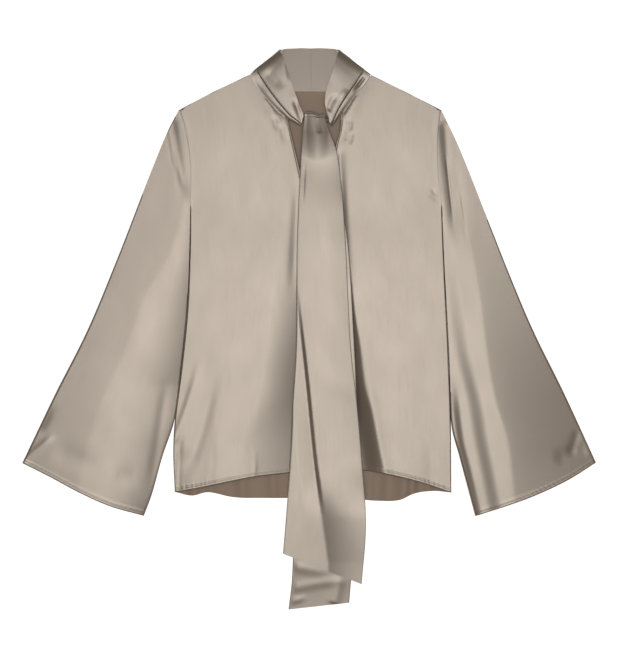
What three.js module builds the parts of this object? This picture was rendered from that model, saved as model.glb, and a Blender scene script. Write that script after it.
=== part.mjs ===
// A satin blouse with bell sleeves and a scarf collar, tied at the neck and laid flat on its back.
// Millimetres. +X is the wearer's left, +Y points from the hem to the collar, and +Z is up. The
// origin is on the surface that the blouse lies on, under its middle.
import * as THREE from 'three';

// The cloth. The scarf is folded lengthways, so its wall is two layers.
const cloth = 1.2;
const scarfCloth = 2.0;
const seamGap = 0.3;            // between pieces that are sewn together
const layGap = 0.8;             // between a piece and what it lies on

// Heights of the front's outer face above the surface.
const seamTop = cloth + seamGap + cloth;    // where the front is sewn to the back
const bodyTop = 16.5;           // the front between its folds
const hemTop = 15.5;            // the front's free hem
const neckTop = 7.4;            // the neck seam
const armholeTop = 11;          // the middle of the armhole seam
const edgeRoll = 8;             // a seam's edge rolls up this far in, to half the height
const sideReach = 70;           // and this far in the front has its full height
const shoulderReach = 60;
const neckReach = 48;           // the same from the neck seam and the slit
const underarmY = 202;          // the foot of the armhole seams
const shoulderY = 358;          // and their top
const sunkenUpTo = 150;         // the slit's edges lie lower from its foot to this far above it
const hemRise = { from: -260, over: 200 };  // the front rises from its hem to its full height

// Where a panel's corners divide its edges, as shares of the edge, and how many rows and columns of
// points each stretch has. Above 1, closer draws the points together towards the outer seams.
const frontShare = { shoulder: 0.42, neck: 0.58, armhole: 0.26, side: 0.74 };
const frontPoints = {
  shoulder: 8, neck: 15, armhole: 9, side: 13, slitRow: 12, closer: 1.6, closerRows: 1.3,
};
const backShare = { shoulder: 0.3, neck: 0.4, armhole: 0.3, side: 0.7 };
const backPoints = { across: 24, down: 20 };

// A sleeve is one flattened tube.
const sleeveEdgeTop = 5;        // its folded edge
const cuffTop = 17;             // the upper layer's crest at the cuff
const crestShare = 0.34;        // the crest's place, from the underarm edge to the outer edge
const edgeShare = 0.022;        // the folded edge's share of the sleeve's width
const opensOver = 0.12;         // it opens from the armhole over this share of its length
const domeFlatter = 0.2;        // how much flatter its rounded section is once it is open
const foldsFade = { armhole: 0.08, edge: 0.3 };     // its folds begin this far in
const sleevePoints = { under: 5, upper: 15, down: 15 };

// Colours, with the roughness of the satin's face and of its dull reverse.
const satin = { color: 0xb3a797, roughness: 0.42, metalness: 0.0 };
const reverse = { color: 0x8b7d6f, roughness: 0.7, metalness: 0.0 };

// Turns lines of numbers into rows with named columns.
function table(columns, ...lines) {
  const names = columns.split(' ');
  return lines.map((line) => Object.fromEntries(names.map((name, i) => [name, line[i]])));
}

// The pattern's outlines as they lie, from neck to shoulder, shoulder to underarm, and so on down.
const shoulderRight = table('x y', [-212, 358], [-156, 387.5], [-98, 415]);
const shoulderLeft = table('x y', [101, 414.5], [157, 387], [214, 358]);
const armholeRight = table('x y', [-212, 358], [-200, 316], [-194, 273], [-193, 232], [-194, 202]);
const armholeLeft = table('x y', [214, 358], [209, 316], [208.5, 283], [210, 250], [216, 199]);
const sideRight = table('x y', [-194, 202], [-196, 99], [-200, 24], [-209, -64], [-220, -151],
  [-222.5, -200], [-220, -266]);
const sideLeft = table('x y', [216, 199], [220, 99], [224, 24], [228, -64], [231, -157], [232, -267]);
const neckRight = table('x y', [-98, 415], [-87, 398], [-72, 378], [-56, 361], [-35, 342]);
const neckLeft = table('x y', [101, 414.5], [91, 399], [78, 384], [68, 371], [51, 349]);
const slitRight = table('x y', [-35, 342], [-28, 313], [-15, 259], [-1, 202], [12, 145]);
const slitLeft = table('x y', [51, 349], [49, 321], [42, 296], [28, 212], [12, 145]);
const centreFront = table('x y', [12, 145], [6, -40], [4, -231]);
const frontHemRight = table('x y', [-220, -266], [-180, -259], [-132, -249], [-90, -241], [-34, -235],
  [4, -231]);
const frontHemLeft = table('x y', [4, -231], [88, -231], [124, -236], [182, -250], [232, -267]);
const backNeck = table('x y', [-98, 415], [-83, 401], [-62, 391.5], [-35, 388], [3, 387.5],
  [38, 388], [66, 391.5], [86, 401], [101, 414.5]);
const backHem = table('x y', [-220, -266], [-192, -272], [-166, -266.5], [-125, -274.5], [-60, -276],
  [3, -276], [66, -277], [112, -280.5], [148, -279], [170, -269], [200, -264.5], [232, -267]);

const sleeveGap = 1.3;          // between a sleeve and the body beside it, measured on the surface
const sleeves = {
  right: {
    inner: table('x y', [-194, 202], [-196, 99], [-200, 24], [-209, -64], [-220, -148], [-240, -209],
      [-257, -270], [-270, -305]),
    outer: table('x y', [-212.5, 358], [-229, 327], [-260, 252], [-312, 118], [-362, -2], [-415, -107],
      [-468, -218]),
    cuff: table('x y', [-270, -305], [-325, -288.5], [-375, -266], [-422, -241], [-468, -218]),
  },
  left: {
    inner: table('x y', [216, 199], [220, 99], [224, 24], [228, -64], [232, -160], [244, -207],
      [257, -256], [270, -305]),
    outer: table('x y', [214.5, 358], [241, 303], [293, 173], [330, 80], [365, -2], [415, -103],
      [468, -218]),
    cuff: table('x y', [270, -305], [322, -287.5], [365, -272], [420, -247], [468, -218]),
  },
};

// The largest folds. Each runs from a point to another, and fades in and out over a share of its
// length. A negative height is a valley.
const foldColumns = 'x y toX toY halfWidth height fadeIn fadeOut';
const frontFolds = table(foldColumns,
  [-60, 20, -90, -240, 17, 2.2, 0.6, 0],
  [86, 10, 124, -232, 14, 3.2, 0.6, 0],
  [-178, -30, -214, -205, 8, 2.6, 0.4, 0.3],
  [-160, 0, -189, -250, 12, -3, 0.5, 0],
  [-134, -100, -158, -262, 16, 1.6, 0.6, 0],
  [196, -120, 196, -262, 14, -2, 0.6, 0],
  [168, 210, 208, 216, 9, -2.4, 0.5, 0.1],
  [168, 236, 206, 250, 8, 1.8, 0.5, 0.2]);

// The front sinks between two crests, which run down beside the tails and part towards the hem.
const trough = { top: 230, fullAt: -170, depth: 7.2, narrow: 12, slopeRight: 44, slopeLeft: 36 };
const crestRight = table('x y', [-30, 230], [-40, 80], [-56, 5], [-63, -80], [-78, -145], [-92, -241]);
const crestLeft = table('x y', [62, 230], [68, 120], [80, 0], [93, -94], [106, -140], [126, -233]);
const sleeveFolds = {
  right: table(foldColumns,
    [-223, 328, -217, 262, 5, 2.6, 0.2, 0.6],
    [-214, 320, -204, 224, 6, -2, 0.2, 0.5],
    [-206, 322, -200, 240, 5, 2.2, 0.2, 0.5],
    [-236, -122, -249, -208, 6, -2.4, 0.4, 0.3],
    [-414, -150, -440, -206, 18, -3, 0.6, 0],
    [-304, -190, -296, -262, 16, -2.6, 0.6, 0.3]),
  left: table(foldColumns,
    [219, 300, 234, 160, 6, -2.2, 0.2, 0.5],
    [230, 330, 238, 196, 6, 2.4, 0.2, 0.5],
    [240, 230, 258, 140, 5, -1.8, 0.3, 0.4],
    [254, -120, 283, -300, 5, -3, 0.5, 0],
    [262, -120, 290, -292, 7, 2.4, 0.5, 0],
    [276, -170, 300, -300, 6, -2.2, 0.5, 0],
    [418, -150, 446, -208, 16, -2.6, 0.6, 0]),
};

// Gathers that run down the front from the neck seam.
const gathers = { waves: 4, height: 2.2, length: 0.2, fromShare: 0.55 };

// The scarf collar, a row for each section across it, from the centre back round the side of the
// neck to the knot. It runs from the neck seam to the collar's upper fold. height is the middle of
// its wall, and crown says how far the section has the front's rounded profile.
const collarColumns = 'seamX seamY foldX foldY height crown';
const collarRight = table(collarColumns,
  [2.35, 388.5, 2.35, 458, 1, 0], [-14, 388.5, -12, 458.5, 1, 0], [-36, 389, -26, 458, 1, 0],
  [-62, 393, -37, 457.5, 1, 0], [-80, 401, -43, 456.5, 1, 0], [-91, 410, -47, 455.5, 1.2, 0],
  [-96.2, 415.4, -48, 454, 4, 0], [-93.1, 408.8, -46, 449, 7, 0.5], [-83.6, 394.2, -41.5, 438, 9.5, 1],
  [-71.6, 378.9, -36, 421, 11, 1], [-58.5, 364.5, -29, 401, 12, 1], [-46.5, 353.7, -22, 380, 12, 1],
  [-34, 342.7, -15.5, 364, 11.5, 1], [-22, 336, -12, 355, 11, 1], [-14, 331.5, -9.5, 347, 10.5, 1]);
const collarLeft = table(collarColumns,
  [2.65, 388.5, 2.65, 458, 1, 0], [17, 388.5, 15, 458.5, 1, 0], [39, 389, 29, 458, 1, 0],
  [65, 393, 38, 457.5, 1, 0], [83, 401.2, 44, 456.5, 1, 0], [94, 409.6, 47, 455.5, 1.2, 0],
  [99, 415.1, 48, 454, 4, 0], [95.8, 408.6, 46, 448, 7, 0.5], [86.6, 395.8, 43, 436, 9.5, 1],
  [76.1, 383.2, 38, 420, 11, 1], [66.5, 371.5, 32, 402, 12, 1], [57.4, 359.9, 26.5, 384, 12, 1],
  [49.4, 348.8, 25.5, 368, 11.5, 1], [42, 338, 28, 353, 11, 1], [35.5, 331, 31, 341, 10.5, 1]);
// How the height varies from the neck seam (0) to the upper fold (1): a flat strip along the seam,
// a deep crease, and the rounded band.
const collarProfile = table('at rise', [0, 0.55], [0.14, 0.64], [0.26, 0.42], [0.42, 0.98],
  [0.62, 1.2], [0.82, 1.1], [1, 0.78]);

// The strand that crosses under the front tail, and the tail's loop over it.
const strand = { x: -9.8, toX: 29.7, y: 340, z: 12, halfDeep: 6.6, halfThick: 4.4, taper: 0.75 };
const loop = table('y z halfWidth', [337, 5.7, 11], [345, 5.7, 12], [350.5, 8.4, 13], [352, 13, 14],
  [349.5, 17.2, 15], [343, 19.3, 16], [333, 19.6, 17.5]);
const loopMiddle = 8.5;

const tailFront = {
  left: table('x y', [-11, 322], [-15, 259], [-20, 140], [-21, -34], [-26, -116], [-30, -200],
    [-43, -366]),
  right: table('x y', [32, 322], [44, 291], [53, 226], [59, 140], [68, -34], [77, -116], [86, -220],
    [92, -320], [85, -415]),
  crown: 2.2,
};
const tailBack = {
  left: table('x y', [-5, 327], [-12, 243], [-17, 145], [-22, -34], [-27, -181], [-28, -400],
    [-34, -458]),
  right: table('x y', [20, 327], [47, 226], [62, 145], [71, 10], [78, -150], [76, -311], [65, -447]),
  crown: 0.8,
};
// The front tail's long crease, and the two soft ridges beside it.
const tailCreases = table(foldColumns,
  [-18, 140, 12, -390, 9, -2.0, 0.3, 0.2],
  [18, 300, 40, -60, 14, 1.2, 0.3, 0.6],
  [60, -250, 36, -405, 20, 1.6, 0.6, 0]);
const tailLeavesBody = -250;    // where the tails run past the front's hem
const tailOnSurface = -335;     // where they lie flat
const hemMargin = 18;           // the front's height is read this far above its hem
const loopSettles = { from: 330, over: 90 };        // from the knot down to the front
const tailRoundness = 0.8;      // the power of the sine that rounds a tail's section
const creaseFade = 0.4;         // a tail's creases fade out towards its edges
const tailPoints = { backAcross: 7, frontAcross: 9, along: 26 };

const clamp01 = (t) => Math.min(1, Math.max(0, t));
const smooth = (t) => clamp01(t) ** 2 * (3 - 2 * clamp01(t));
const easeOut = (t) => 1 - (1 - clamp01(t)) ** 2;
// A seam's edge rolls up steeply and then rises slowly to the full height.
const pillow = (distance, reach) => (easeOut(distance / edgeRoll) + easeOut(distance / reach)) / 2;
const steps = (count) => Array.from({ length: count + 1 }, (unused, i) => i / count);

// A smooth curve through a table's points, by its share of length.
function through(rows) {
  const curve = new THREE.CatmullRomCurve3(rows.map(({ x, y }) => new THREE.Vector3(x, y, 0)), false,
    'centripetal');
  return (t) => curve.getPointAt(clamp01(t));
}

// Curves end to end, each with its share of the whole.
function chain(...legs) {
  return (t) => {
    let start = 0;
    for (const { share, curve } of legs) {
      if (t <= start + share + 1e-9) return curve((t - start) / share);
      start += share;
    }
    return legs.at(-1).curve(1);
  };
}

// A value of a table's column between its rows, which run down or up the other column.
function between(rows, by, wanted, at) {
  const up = rows[0][by] < rows.at(-1)[by] ? rows : [...rows].reverse();
  const next = up.findIndex((row) => row[by] >= at);
  if (next === 0) return up[0][wanted];
  if (next < 0) return up.at(-1)[wanted];
  const [low, high] = [up[next - 1], up[next]];
  return low[wanted] + (high[wanted] - low[wanted]) * (at - low[by]) / (high[by] - low[by]);
}

// A surface that spans four edge curves. u runs from left to right and v from top to bottom.
function patch({ top, bottom, left, right }) {
  const corner = [top(0), top(1), bottom(0), bottom(1)];
  return (u, v) => new THREE.Vector3()
    .addScaledVector(top(u), 1 - v).addScaledVector(bottom(u), v)
    .addScaledVector(left(v), 1 - u).addScaledVector(right(v), u)
    .addScaledVector(corner[0], -(1 - u) * (1 - v)).addScaledVector(corner[1], -u * (1 - v))
    .addScaledVector(corner[2], -(1 - u) * v).addScaledVector(corner[3], -u * v);
}

// How far folds raise or lower the cloth at a point.
function foldHeight(rows, x, y) {
  return rows.reduce((sum, fold) => {
    const along = new THREE.Vector2(fold.toX - fold.x, fold.toY - fold.y);
    const away = new THREE.Vector2(x - fold.x, y - fold.y);
    const t = away.dot(along) / along.lengthSq();
    const aside = Math.abs(away.cross(along)) / along.length();
    const begins = fold.fadeIn ? smooth(t / fold.fadeIn) : 1;
    const ends = fold.fadeOut ? smooth((1 - t) / fold.fadeOut) : 1;
    return sum + fold.height * Math.exp(-((aside / fold.halfWidth) ** 2)) * begins * ends;
  }, 0);
}

// A sheet is a list of points and a list of four-cornered faces.
function grid(across, down, place, closed = false) {
  const points = down.flatMap((v) => across.map((u) => place(u, v)));
  const faces = [];
  const columns = across.length;
  for (let j = 0; j < down.length - 1; j += 1) {
    for (let i = 0; i < (closed ? columns : columns - 1); i += 1) {
      const next = (i + 1) % columns;
      faces.push([j * columns + i, (j + 1) * columns + i, (j + 1) * columns + next, j * columns + next]);
    }
  }
  return { points, faces };
}

// Sheets as one, with the points that they share joined.
function weld(...sheets) {
  const places = new Map();
  const points = [];
  const faces = sheets.flatMap((sheet) => {
    const index = sheet.points.map((p) => {
      const key = p.toArray().map((value) => value.toFixed(3)).join(' ');
      if (!places.has(key)) {
        places.set(key, points.length);
        points.push(p);
      }
      return places.get(key);
    });
    return sheet.faces.map((face) => face.map((i) => index[i]));
  });
  return { points, faces };
}

// A closed wall: the sheet moved outwards and inwards along its normals, and joined at its edges.
function wall({ points, faces }, outwards, inwards) {
  const normals = points.map(() => new THREE.Vector3());
  faces.forEach(([a, b, c, d]) => {
    const normal = points[c].clone().sub(points[a]).cross(points[d].clone().sub(points[b]));
    [a, b, c, d].forEach((i) => normals[i].add(normal));
  });
  normals.forEach((normal) => normal.normalize());
  const moved = (by) => points.map((p, i) => p.clone().addScaledVector(normals[i], by));
  const corners = [...moved(outwards), ...moved(-inwards)];
  const triangles = [];
  const edges = new Map();
  const inner = points.length;
  faces.forEach(([a, b, c, d]) => {
    triangles.push(a, b, c, a, c, d, inner + a, inner + c, inner + b, inner + a, inner + d, inner + c);
    [[a, b], [b, c], [c, d], [d, a]].forEach(([from, to]) => {
      if (!edges.delete(`${to} ${from}`)) edges.set(`${from} ${to}`, [from, to]);
    });
  });
  edges.forEach(([from, to]) => {
    triangles.push(from, inner + from, inner + to, from, inner + to, to);
  });
  const geometry = new THREE.BufferGeometry();
  geometry.setAttribute('position',
    new THREE.Float32BufferAttribute(corners.flatMap((p) => p.toArray()), 3));
  geometry.setIndex(triangles);
  geometry.computeVertexNormals();
  return geometry;
}

const slitFoot = slitRight.at(-1).y;
const neckAndSlitRight = [...neckRight, ...slitRight.slice(1)];
const neckAndSlitLeft = [...neckLeft, ...slitLeft.slice(1)];

function troughDepth(x, y) {
  const grown = smooth((trough.top - y) / (trough.top - trough.fullAt));
  const fromRight = (x - between(crestRight, 'y', 'x', y)) / (trough.narrow
    + (trough.slopeRight - trough.narrow) * grown);
  const fromLeft = (between(crestLeft, 'y', 'x', y) - x) / (trough.narrow
    + (trough.slopeLeft - trough.narrow) * grown);
  return trough.depth * grown * smooth(fromRight) * smooth(fromLeft);
}

// The height of the front's outer face at a point.
function frontHeight(x, y) {
  const body = y > underarmY
    ? [between(armholeRight, 'y', 'x', y), between(armholeLeft, 'y', 'x', y)]
    : [between(sideRight, 'y', 'x', y), between(sideLeft, 'y', 'x', y)];
  const fromSide = pillow(x - body[0], sideReach) * pillow(body[1] - x, sideReach);
  const seamY = between(x < 0 ? shoulderRight : shoulderLeft, 'x', 'y', x);
  const full = fromSide * pillow(seamY - y, shoulderReach);
  const lift = Math.sin(Math.PI * clamp01((y - underarmY) / (shoulderY - underarmY)));
  const edge = seamTop + (armholeTop - seamTop) * lift;
  const opening = [between(neckAndSlitRight, 'y', 'x', y), between(neckAndSlitLeft, 'y', 'x', y)];
  const fromNeck = Math.max(opening[0] - x, x - opening[1]);
  const sunken = (1 - easeOut(fromNeck / neckReach)) * smooth((y - slitFoot) / sunkenUpTo);
  const middle = hemTop + (bodyTop - hemTop) * smooth((y - hemRise.from) / hemRise.over);
  const height = edge + (middle + foldHeight(frontFolds, x, y) - troughDepth(x, y) - edge) * full;
  return height + (Math.min(neckTop, height) - height) * sunken;
}

// The front is cut in one piece with a slit at the neck, so its two halves part above the slit's foot.
function frontPanel() {
  const { shoulder: shoulderShare, neck: neckShare, armhole: armholeShare, side: sideShare } = frontShare;
  const columns = [
    ...steps(frontPoints.shoulder).map((t) => shoulderShare * t ** frontPoints.closer),
    ...steps(frontPoints.neck).slice(1).map((t) => shoulderShare + t * neckShare),
  ];
  const rows = [
    ...steps(frontPoints.armhole).map((t) => armholeShare * t ** frontPoints.closerRows),
    ...steps(frontPoints.side).slice(1).map((t) => armholeShare + t * sideShare),
  ];
  const slitShare = rows.at(frontPoints.slitRow);
  const half = ({ shoulder, neck, armhole, side, slit, hem }, mirrored) => {
    const span = patch({
      top: chain({ share: shoulderShare, curve: shoulder }, { share: neckShare, curve: neck }),
      bottom: hem,
      left: chain({ share: armholeShare, curve: armhole }, { share: sideShare, curve: side }),
      right: chain({ share: slitShare, curve: slit },
        { share: 1 - slitShare, curve: through(centreFront) }),
    });
    const place = (u, v) => {
      const p = span(u, v);
      const wave = clamp01((u - gathers.fromShare) / (1 - gathers.fromShare));
      const down = clamp01(v / gathers.length);
      const gathered = gathers.height * Math.sin(2 * Math.PI * gathers.waves * wave)
        * Math.sin(Math.PI * wave) * Math.sin(Math.PI * down);
      return p.setZ(frontHeight(p.x, p.y) + gathered);
    };
    const sheet = grid(columns, rows, place);
    return mirrored ? { ...sheet, faces: sheet.faces.map((face) => [...face].reverse()) } : sheet;
  };
  const reversed = (rows) => through([...rows].reverse());
  const right = half({
    shoulder: through(shoulderRight),
    neck: through(neckRight),
    armhole: through(armholeRight),
    side: through(sideRight),
    slit: through(slitRight),
    hem: through(frontHemRight),
  }, false);
  const left = half({
    shoulder: reversed(shoulderLeft),
    neck: through(neckLeft),
    armhole: through(armholeLeft),
    side: through(sideLeft),
    slit: through(slitLeft),
    hem: reversed(frontHemLeft),
  }, true);
  return wall(weld(right, left), 0, cloth);
}

// The back lies flat on the surface.
function backPanel() {
  const edge = (armhole, side) => chain({ share: backShare.armhole, curve: through(armhole) },
    { share: backShare.side, curve: through(side) });
  const span = patch({
    top: chain({ share: backShare.shoulder, curve: through(shoulderRight) },
      { share: backShare.neck, curve: through(backNeck) },
      { share: backShare.shoulder, curve: through(shoulderLeft) }),
    bottom: through(backHem),
    left: edge(armholeRight, sideRight),
    right: edge(armholeLeft, sideLeft),
  });
  const place = (u, v) => span(u, v).setZ(cloth);
  return wall(grid(steps(backPoints.across), steps(backPoints.down), place), 0, cloth);
}

// A flattened tube from the armhole to the cuff. across runs from its underarm edge to its outer edge.
function sleeve({ inner, outer, cuff }, armhole, folds, side) {
  const away = new THREE.Vector3(side * sleeveGap, 0, 0);
  const shifted = (rows) => {
    const curve = through(rows);
    return (t) => curve(t).add(away);
  };
  const span = patch({
    top: (u) => shifted(armhole)(1 - u), bottom: shifted(cuff), left: shifted(inner), right: shifted(outer),
  });
  const height = (across, along, p) => {
    const opened = smooth(along / opensOver);
    const edge = seamTop + (sleeveEdgeTop - seamTop) * opened;
    const crown = armholeTop + (cuffTop - armholeTop) * smooth(along);
    const toCrest = across ** (Math.log(0.5) / Math.log(crestShare));
    const dome = Math.sin(Math.PI * toCrest) ** (1 - domeFlatter * opened);
    const inside = smooth(along / foldsFade.armhole) * smooth(Math.sin(Math.PI * across) / foldsFade.edge);
    return edge + (crown - edge) * dome + foldHeight(folds, p.x, p.y) * inside;
  };
  const under = steps(sleevePoints.under).map((t) => edgeShare + t * (1 - 2 * edgeShare));
  const upper = steps(sleevePoints.upper).map((t) => 1 - edgeShare - t * (1 - 2 * edgeShare));
  const ring = [
    { across: 0, level: 0.5 }, ...under.map((across) => ({ across, level: 0 })),
    { across: 1, level: 0.5 }, ...upper.map((across) => ({ across, level: 1 })),
  ];
  const place = ({ across, level }, along) => {
    const p = span(across, along);
    return p.setZ(level * height(across, along, p));
  };
  const tube = grid(ring, steps(sleevePoints.down), place, true);
  const faces = side > 0 ? tube.faces.map((face) => [...face].reverse()) : tube.faces;
  return wall({ points: tube.points, faces }, 0, cloth);
}

// One half of the scarf collar, from the centre back seam to the knot.
function collarHalf(sections, side) {
  const across = steps(9);
  const place = (q, section) => {
    const rise = 1 + (between(collarProfile, 'at', 'rise', q) - 1) * section.crown;
    return new THREE.Vector3(section.seamX + (section.foldX - section.seamX) * q,
      section.seamY + (section.foldY - section.seamY) * q, section.height * rise);
  };
  const sheet = grid(across, sections, place);
  const faces = side < 0 ? sheet.faces.map((face) => [...face].reverse()) : sheet.faces;
  return wall({ points: sheet.points, faces }, scarfCloth / 2, scarfCloth / 2);
}

// The scarf's crossing strand, rolled up under the tail's loop.
function crossingStrand() {
  const sides = 14;
  const sections = steps(10);
  const ring = steps(sides).slice(0, -1);
  const place = (turn, t) => {
    const size = Math.sqrt(1 - (2 * t - 1) ** 2 * strand.taper);
    const angle = 2 * Math.PI * turn;
    return new THREE.Vector3(strand.x + (strand.toX - strand.x) * t,
      strand.y + strand.halfDeep * size * Math.cos(angle),
      strand.z + strand.halfThick * size * Math.sin(angle));
  };
  const { points, faces } = grid(ring, sections, place, true);
  const triangles = faces.flatMap(([a, b, c, d]) => [a, c, b, a, d, c]);
  [0, sections.length - 1].forEach((row) => {
    const first = row * sides;
    for (let i = 1; i < sides - 1; i += 1) {
      const fan = [first, first + i, first + i + 1];
      triangles.push(...(row ? fan : [...fan].reverse()));
    }
  });
  const geometry = new THREE.BufferGeometry();
  geometry.setAttribute('position',
    new THREE.Float32BufferAttribute(points.flatMap((p) => p.toArray()), 3));
  geometry.setIndex(triangles);
  geometry.computeVertexNormals();
  return geometry;
}

// The height of what lies under the tails: the front, and past its hem a slope down to the surface.
function underTails(x, y) {
  const onBody = frontHeight(x, Math.max(y, tailLeavesBody + hemMargin)) + layGap;
  return onBody * (1 - smooth((tailLeavesBody - y) / (tailLeavesBody - tailOnSurface)));
}

// The underside of a tail that lies at that height, rounded up towards its middle.
function tailUnderside({ crown }, creases, above, across, p) {
  const raised = crown * Math.sin(Math.PI * across) ** tailRoundness;
  const creased = foldHeight(creases, p.x, p.y) * smooth(Math.sin(Math.PI * across) / creaseFade);
  return underTails(p.x, p.y) + above + Math.max(0, raised + creased);
}

function tailEdges({ left, right }) {
  const [leftEdge, rightEdge] = [through(left), through(right)];
  return (across, along) => leftEdge(along).lerp(rightEdge(along), across);
}

function backTail() {
  const span = tailEdges(tailBack);
  const place = (across, along) => {
    const p = span(across, along);
    return p.setZ(tailUnderside(tailBack, [], 0, across, p));
  };
  const sheet = grid(steps(tailPoints.backAcross), steps(tailPoints.along), place);
  return wall(sheet, scarfCloth, 0);
}

// The front tail loops up behind the strand and over it, and then lies down on the back tail.
function frontTail() {
  const span = tailEdges(tailFront);
  const clear = scarfCloth + tailBack.crown + layGap;
  const looped = (section) => (across) => new THREE.Vector3(
    loopMiddle + section.halfWidth * (2 * across - 1), section.y, section.z - scarfCloth / 2);
  const laid = (along) => (across) => {
    const p = span(across, along);
    const settles = smooth((loopSettles.from - p.y) / loopSettles.over);
    const high = loop.at(-1).z - scarfCloth / 2;
    return p.setZ(high + (tailUnderside(tailFront, tailCreases, clear, across, p) - high) * settles);
  };
  const sections = [...loop.map(looped), ...steps(tailPoints.along).map(laid)];
  const sheet = grid(steps(tailPoints.frontAcross), sections, (across, section) => section(across));
  return wall(sheet, scarfCloth, 0);
}

const group = new THREE.Group();

function add(name, geometry, finish) {
  const mesh = new THREE.Mesh(geometry, new THREE.MeshStandardMaterial(finish));
  mesh.name = name;
  group.add(mesh);
}

add('back_panel', backPanel(), reverse);
add('front_panel', frontPanel(), satin);
add('sleeve_right', sleeve(sleeves.right, armholeRight, sleeveFolds.right, -1), satin);
add('sleeve_left', sleeve(sleeves.left, armholeLeft, sleeveFolds.left, 1), satin);
add('collar_right', collarHalf(collarRight, -1), satin);
add('collar_left', collarHalf(collarLeft, 1), satin);
add('scarf_strand', crossingStrand(), satin);
add('tail_back', backTail(), satin);
add('tail_front', frontTail(), satin);

export default group;
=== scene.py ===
import math

import bpy
import numpy as np
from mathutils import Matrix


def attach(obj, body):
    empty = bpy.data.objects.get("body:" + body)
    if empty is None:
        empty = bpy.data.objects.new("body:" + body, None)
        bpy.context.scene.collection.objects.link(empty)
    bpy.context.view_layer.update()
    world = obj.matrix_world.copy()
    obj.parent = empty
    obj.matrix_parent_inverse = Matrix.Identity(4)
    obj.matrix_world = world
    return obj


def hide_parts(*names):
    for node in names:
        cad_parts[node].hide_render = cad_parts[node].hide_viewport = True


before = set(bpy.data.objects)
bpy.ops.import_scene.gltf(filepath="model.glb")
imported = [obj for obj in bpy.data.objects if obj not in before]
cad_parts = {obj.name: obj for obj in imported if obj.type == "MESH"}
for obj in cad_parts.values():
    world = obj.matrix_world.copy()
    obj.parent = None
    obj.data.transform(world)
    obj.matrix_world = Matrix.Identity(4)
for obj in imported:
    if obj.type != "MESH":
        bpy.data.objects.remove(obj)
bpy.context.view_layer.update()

# A satin blouse with bell sleeves and a scarf collar, tied at the neck and laid flat on its back.
# Sizes are in millimetres until a mesh is made. +X is the wearer's left, +Y points to the collar.
metre = 0.001
print("frame loaded, nodes:", ", ".join(sorted(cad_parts)))


# Small helpers for curves and heights

def clamp01(t):
    return np.clip(t, 0.0, 1.0)


def smooth(t):
    t = clamp01(t)
    return t * t * (3 - 2 * t)


def eased(y, start, end):
    # 0 at the start and 1 at the end, smoothly between
    return smooth((y - start) / (end - start))


def easeOut(t):
    return 1 - (1 - clamp01(t)) ** 2


def bell(distance, width):
    return np.exp(-(distance / width) ** 2)


def smoothLine(points, steps=24):
    # a rounded line through every point, as a dense polyline
    p = np.array(points, float)
    p = np.vstack([2 * p[0] - p[1], p, 2 * p[-1] - p[-2]])
    dense = []
    for i in range(1, len(p) - 2):
        near = p[i - 1:i + 3]
        gaps = np.maximum(np.linalg.norm(np.diff(near, axis=0), axis=1), 1e-6) ** 0.5
        knots = np.concatenate([[0], np.cumsum(gaps)])
        t = np.linspace(knots[1], knots[2], steps, endpoint=False)[:, None]

        def mix(a, b, start, end):
            return a + (b - a) * (t - knots[start]) / (knots[end] - knots[start])

        ab, bc, cd = (mix(near[k], near[k + 1], k, k + 1) for k in range(3))
        dense.append(mix(mix(ab, bc, 0, 2), mix(bc, cd, 1, 3), 1, 2))
    return np.vstack(dense + [p[-2:-1]])


def lengthsOf(line):
    return np.concatenate([[0], np.cumsum(np.linalg.norm(np.diff(line, axis=0), axis=1))])


def along(points):
    # a function of the share of the line's length
    line = smoothLine(points)
    reach = lengthsOf(line)
    return lambda t: np.stack([np.interp(np.asarray(t) * reach[-1], reach, column)
                               for column in line.T], -1)


def chain(*legs):
    # curves end to end, each with its share of the whole
    starts = np.cumsum([0] + [share for share, curve in legs])

    def place(t):
        t = np.asarray(t, float)
        out = np.zeros(t.shape + (2,))
        for (share, curve), start in zip(legs, starts):
            mine = (t >= start - 1e-9) & (t <= start + share + 1e-9)
            out[mine] = curve(clamp01((t[mine] - start) / share))
        return out
    return place


def backwards(curve):
    return lambda t: curve(1 - np.asarray(t))


def readAcross(points):
    # x for a given y of an outline that runs down
    line = smoothLine(points)
    order = np.argsort(line[:, 1])
    return lambda y: np.interp(y, line[order, 1], line[order, 0])


def patch(top, bottom, left, right, u, v):
    # a surface between four edge curves: u runs left to right, v top to bottom
    uu, vv = np.meshgrid(u, v)
    uu, vv = uu[..., None], vv[..., None]
    t, b = top(u)[None], bottom(u)[None]
    l, r = left(v)[:, None], right(v)[:, None]
    ends = np.array([0.0, 1.0])
    (tl, tr), (bl, br) = top(ends), bottom(ends)
    corners = (1 - uu) * (1 - vv) * tl + uu * (1 - vv) * tr + (1 - uu) * vv * bl + uu * vv * br
    return (1 - vv) * t + vv * b + (1 - uu) * l + uu * r - corners


def toEnd(grid, axis):
    # how far each point of a grid is from its last row, or from its last column
    step = np.linalg.norm(np.diff(grid, axis=axis), axis=2)
    far = np.flip(np.cumsum(np.flip(step, axis), axis), axis)
    return np.pad(far, [(0, 1), (0, 0)] if axis == 0 else [(0, 0), (0, 1)])


def shares(length, pitch, nearStart=(), nearEnd=()):
    # shares of a length: even steps, and finer ones near the ends
    first = max(nearStart, default=0.0)
    last = length - max(nearEnd, default=0.0)
    middle = np.linspace(first, last, max(2, int(round((last - first) / pitch)) + 1))
    ends = [length - x for x in nearEnd] + [length]
    return np.unique(np.concatenate([[0.0], nearStart, middle, ends])) / length


foldNames = "x y toX toY width height fadeIn fadeOut bow other".split()


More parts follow.
